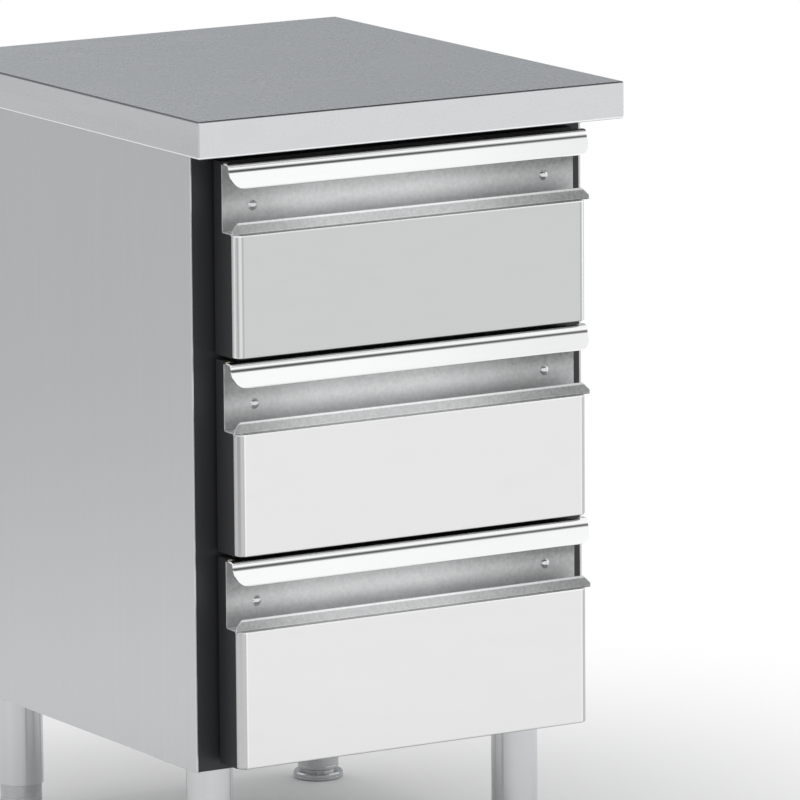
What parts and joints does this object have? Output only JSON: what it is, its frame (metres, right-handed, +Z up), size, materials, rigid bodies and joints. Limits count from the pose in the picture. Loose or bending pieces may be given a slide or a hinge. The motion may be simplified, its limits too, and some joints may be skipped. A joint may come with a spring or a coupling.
{
  "type": "outdoor kitchen drawer unit",
  "caption": "Free-standing steel counter unit with insulated drawers on telescopic runners, full-width grips, a folded worktop and levelling legs.",
  "frame": {"origin": "on the floor, under the middle of the unit's bounding box", "axes": "+X to the right across the front, +Y from the drawer fronts to the back, +Z up"},
  "size_m": [0.52, 0.6, 0.85],
  "materials": {
    "front_steel": "satin",
    "channel_steel": "satin",
    "grip_steel": "polished",
    "fastener_steel": "gloss",
    "foam": "matte",
    "black_plastic": "matte",
    "gasket_rubber": "matte",
    "box_steel": "satin",
    "rail_steel": "satin",
    "bearing_steel": "gloss",
    "worktop_steel": "satin",
    "core_board": "matte",
    "cabinet_steel": "satin",
    "frame_plastic": "matte",
    "liner_steel": "satin",
    "leg_steel": "satin",
    "foot_steel": "satin"
  },
  "bodies": {
    "cabinet": {"worktop_skin": "worktop_steel", "worktop_core": "core_board", "side_panel_left": "cabinet_steel", "side_panel_right": "cabinet_steel", "back_panel": "cabinet_steel", "base_panel": "cabinet_steel", "top_panel": "cabinet_steel", "front_frame": "frame_plastic", "transoms": "frame_plastic", "insulation": "foam", "inner_liner": "liner_steel", "rail_posts": "rail_steel", "legs": "leg_steel", "leg_screws": "fastener_steel", "bottom_drawer_outer_rails": "rail_steel", "middle_drawer_outer_rails": "rail_steel", "top_drawer_outer_rails": "rail_steel"},
    "bottom_drawer": {"bottom_drawer_face": "front_steel", "bottom_drawer_grip_channel": "channel_steel", "bottom_drawer_grip": "grip_steel", "bottom_drawer_rivets": "fastener_steel", "bottom_drawer_front_core": "foam", "bottom_drawer_inner_cover": "black_plastic", "bottom_drawer_gasket": "gasket_rubber", "bottom_drawer_box": "box_steel", "bottom_drawer_box_screws": "fastener_steel", "bottom_drawer_inner_rails": "rail_steel"},
    "bottom_middle_rails": {"bottom_drawer_middle_rails": "rail_steel"},
    "bottom_inner_cages": {"bottom_drawer_inner_cages": "bearing_steel"},
    "bottom_outer_cages": {"bottom_drawer_outer_cages": "bearing_steel"},
    "middle_drawer": {"middle_drawer_face": "front_steel", "middle_drawer_grip_channel": "channel_steel", "middle_drawer_grip": "grip_steel", "middle_drawer_rivets": "fastener_steel", "middle_drawer_front_core": "foam", "middle_drawer_inner_cover": "black_plastic", "middle_drawer_gasket": "gasket_rubber", "middle_drawer_box": "box_steel", "middle_drawer_box_screws": "fastener_steel", "middle_drawer_inner_rails": "rail_steel"},
    "middle_middle_rails": {"middle_drawer_middle_rails": "rail_steel"},
    "middle_inner_cages": {"middle_drawer_inner_cages": "bearing_steel"},
    "middle_outer_cages": {"middle_drawer_outer_cages": "bearing_steel"},
    "top_drawer": {"top_drawer_face": "front_steel", "top_drawer_grip_channel": "channel_steel", "top_drawer_grip": "grip_steel", "top_drawer_rivets": "fastener_steel", "top_drawer_front_core": "foam", "top_drawer_inner_cover": "black_plastic", "top_drawer_gasket": "gasket_rubber", "top_drawer_box": "box_steel", "top_drawer_box_screws": "fastener_steel", "top_drawer_inner_rails": "rail_steel"},
    "top_middle_rails": {"top_drawer_middle_rails": "rail_steel"},
    "top_inner_cages": {"top_drawer_inner_cages": "bearing_steel"},
    "top_outer_cages": {"top_drawer_outer_cages": "bearing_steel"},
    "foot_front_left": {"foot_front_left": "foot_steel"},
    "foot_front_right": {"foot_front_right": "foot_steel"},
    "foot_rear_left": {"foot_rear_left": "foot_steel"},
    "foot_rear_right": {"foot_rear_right": "foot_steel"}
  },
  "joints": [
    {"name": "bottom_drawer_slide", "type": "slide", "parent": "cabinet", "child": "bottom_drawer", "axis": [0, -1, 0], "range_m": [0, 0.44]},
    {"name": "bottom_middle_rails_slide", "type": "slide", "parent": "cabinet", "child": "bottom_middle_rails", "axis": [0, -1, 0], "range_m": [0, 0.22]},
    {"name": "bottom_inner_cages_slide", "type": "slide", "parent": "cabinet", "child": "bottom_inner_cages", "axis": [0, -1, 0], "range_m": [0, 0.33]},
    {"name": "bottom_outer_cages_slide", "type": "slide", "parent": "cabinet", "child": "bottom_outer_cages", "axis": [0, -1, 0], "range_m": [0, 0.11]},
    {"name": "middle_drawer_slide", "type": "slide", "parent": "cabinet", "child": "middle_drawer", "axis": [0, -1, 0], "range_m": [0, 0.44]},
    {"name": "middle_middle_rails_slide", "type": "slide", "parent": "cabinet", "child": "middle_middle_rails", "axis": [0, -1, 0], "range_m": [0, 0.22]},
    {"name": "middle_inner_cages_slide", "type": "slide", "parent": "cabinet", "child": "middle_inner_cages", "axis": [0, -1, 0], "range_m": [0, 0.33]},
    {"name": "middle_outer_cages_slide", "type": "slide", "parent": "cabinet", "child": "middle_outer_cages", "axis": [0, -1, 0], "range_m": [0, 0.11]},
    {"name": "top_drawer_slide", "type": "slide", "parent": "cabinet", "child": "top_drawer", "axis": [0, -1, 0], "range_m": [0, 0.44]},
    {"name": "top_middle_rails_slide", "type": "slide", "parent": "cabinet", "child": "top_middle_rails", "axis": [0, -1, 0], "range_m": [0, 0.22]},
    {"name": "top_inner_cages_slide", "type": "slide", "parent": "cabinet", "child": "top_inner_cages", "axis": [0, -1, 0], "range_m": [0, 0.33]},
    {"name": "top_outer_cages_slide", "type": "slide", "parent": "cabinet", "child": "top_outer_cages", "axis": [0, -1, 0], "range_m": [0, 0.11]},
    {"name": "foot_front_left_screw", "type": "slide", "parent": "cabinet", "child": "foot_front_left", "axis": [0, 0, -1], "range_m": [0, 0.03]},
    {"name": "foot_front_right_screw", "type": "slide", "parent": "cabinet", "child": "foot_front_right", "axis": [0, 0, -1], "range_m": [0, 0.03]},
    {"name": "foot_rear_left_screw", "type": "slide", "parent": "cabinet", "child": "foot_rear_left", "axis": [0, 0, -1], "range_m": [0, 0.03]},
    {"name": "foot_rear_right_screw", "type": "slide", "parent": "cabinet", "child": "foot_rear_right", "axis": [0, 0, -1], "range_m": [0, 0.03]}
  ],
  "couplings": [
    {"joint": "bottom_middle_rails_slide", "follows": "bottom_drawer_slide", "ratio": 0.5},
    {"joint": "bottom_inner_cages_slide", "follows": "bottom_drawer_slide", "ratio": 0.75},
    {"joint": "bottom_outer_cages_slide", "follows": "bottom_drawer_slide", "ratio": 0.25},
    {"joint": "middle_middle_rails_slide", "follows": "middle_drawer_slide", "ratio": 0.5},
    {"joint": "middle_inner_cages_slide", "follows": "middle_drawer_slide", "ratio": 0.75},
    {"joint": "middle_outer_cages_slide", "follows": "middle_drawer_slide", "ratio": 0.25},
    {"joint": "top_middle_rails_slide", "follows": "top_drawer_slide", "ratio": 0.5},
    {"joint": "top_inner_cages_slide", "follows": "top_drawer_slide", "ratio": 0.75},
    {"joint": "top_outer_cages_slide", "follows": "top_drawer_slide", "ratio": 0.25}
  ]
}
